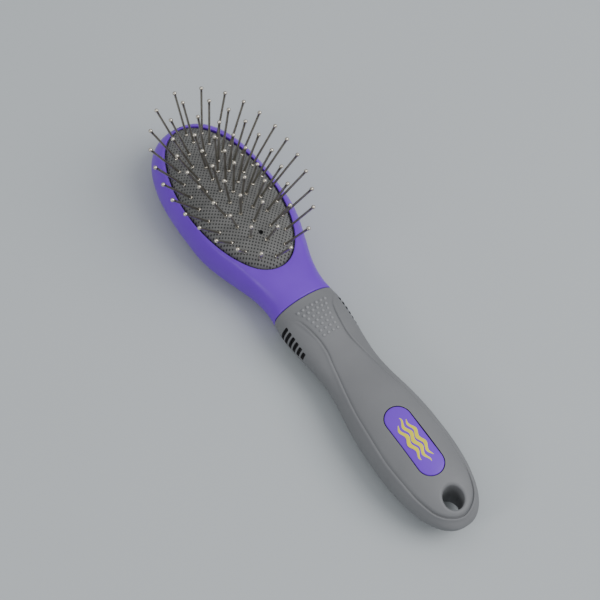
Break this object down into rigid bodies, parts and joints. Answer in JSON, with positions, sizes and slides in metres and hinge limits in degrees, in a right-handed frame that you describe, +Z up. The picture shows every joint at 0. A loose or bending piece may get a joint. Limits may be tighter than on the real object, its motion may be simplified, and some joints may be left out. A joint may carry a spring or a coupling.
{
  "type": "pin brush",
  "caption": "Pet grooming pin brush with an oval air cushion of ball-tipped steel pins, a moulded head and a soft over-moulded grip with a hang hole.",
  "frame": {"origin": "on the surface the brush lies on, under the middle of its bounding box", "axes": "+X from the head towards the end of the handle, +Z up the way the pins point, Y across the brush"},
  "size_m": [0.215, 0.0574, 0.0522],
  "materials": {
    "shell_plastic": "satin moulded purple",
    "grip_rubber": "matte soft-touch grey",
    "plate_plastic": "satin purple",
    "cushion_rubber": "matte grey with fine woven dots",
    "pin_steel": "polished wire"
  },
  "bodies": {
    "root": {"head_shell": "shell_plastic", "grip_sleeve": "grip_rubber", "badge_plate": "plate_plastic", "cushion_pad": "cushion_rubber"},
    "centre_row": {"centre_pins": "pin_steel"},
    "third_ring": {"third_pin_01": "pin_steel", "third_pin_02": "pin_steel", "third_pin_03": "pin_steel", "third_pin_04": "pin_steel", "third_pin_05": "pin_steel", "third_pin_06": "pin_steel", "third_pin_07": "pin_steel", "third_pin_08": "pin_steel", "third_pin_09": "pin_steel", "third_pin_10": "pin_steel", "third_pin_11": "pin_steel", "third_pin_12": "pin_steel"},
    "second_ring": {"second_pin_01": "pin_steel", "second_pin_02": "pin_steel", "second_pin_03": "pin_steel", "second_pin_04": "pin_steel", "second_pin_05": "pin_steel", "second_pin_06": "pin_steel", "second_pin_07": "pin_steel", "second_pin_08": "pin_steel", "second_pin_09": "pin_steel", "second_pin_10": "pin_steel", "second_pin_11": "pin_steel", "second_pin_12": "pin_steel", "second_pin_13": "pin_steel", "second_pin_14": "pin_steel", "second_pin_15": "pin_steel", "second_pin_16": "pin_steel", "second_pin_17": "pin_steel", "second_pin_18": "pin_steel"},
    "outer_ring": {"outer_pin_01": "pin_steel", "outer_pin_02": "pin_steel", "outer_pin_03": "pin_steel", "outer_pin_04": "pin_steel", "outer_pin_05": "pin_steel", "outer_pin_06": "pin_steel", "outer_pin_07": "pin_steel", "outer_pin_08": "pin_steel", "outer_pin_09": "pin_steel", "outer_pin_10": "pin_steel", "outer_pin_11": "pin_steel", "outer_pin_12": "pin_steel", "outer_pin_13": "pin_steel", "outer_pin_14": "pin_steel", "outer_pin_15": "pin_steel", "outer_pin_16": "pin_steel", "outer_pin_17": "pin_steel", "outer_pin_18": "pin_steel", "outer_pin_19": "pin_steel", "outer_pin_20": "pin_steel", "outer_pin_21": "pin_steel", "outer_pin_22": "pin_steel", "outer_pin_23": "pin_steel", "outer_pin_24": "pin_steel"}
  },
  "joints": [
    {"name": "cushion_press", "type": "slide", "parent": "root", "child": "centre_row", "axis": [0, 0, -1], "range_m": [0, 0.0025], "stiffness_N_per_m": 1500, "deforming": ["cushion_pad"]},
    {"name": "third_ring_press", "type": "slide", "parent": "root", "child": "third_ring", "axis": [0, 0, -1], "range_m": [0, 0.0025], "stiffness_N_per_m": 3000},
    {"name": "second_ring_press", "type": "slide", "parent": "root", "child": "second_ring", "axis": [0, 0, -1], "range_m": [0, 0.0022], "stiffness_N_per_m": 4000},
    {"name": "outer_ring_press", "type": "slide", "parent": "root", "child": "outer_ring", "axis": [0, 0, -1], "range_m": [0, 0.0014], "stiffness_N_per_m": 5000}
  ],
  "couplings": [
    {"joint": "third_ring_press", "follows": "cushion_press", "ratio": 0.98},
    {"joint": "second_ring_press", "follows": "cushion_press", "ratio": 0.87},
    {"joint": "outer_ring_press", "follows": "cushion_press", "ratio": 0.56}
  ]
}
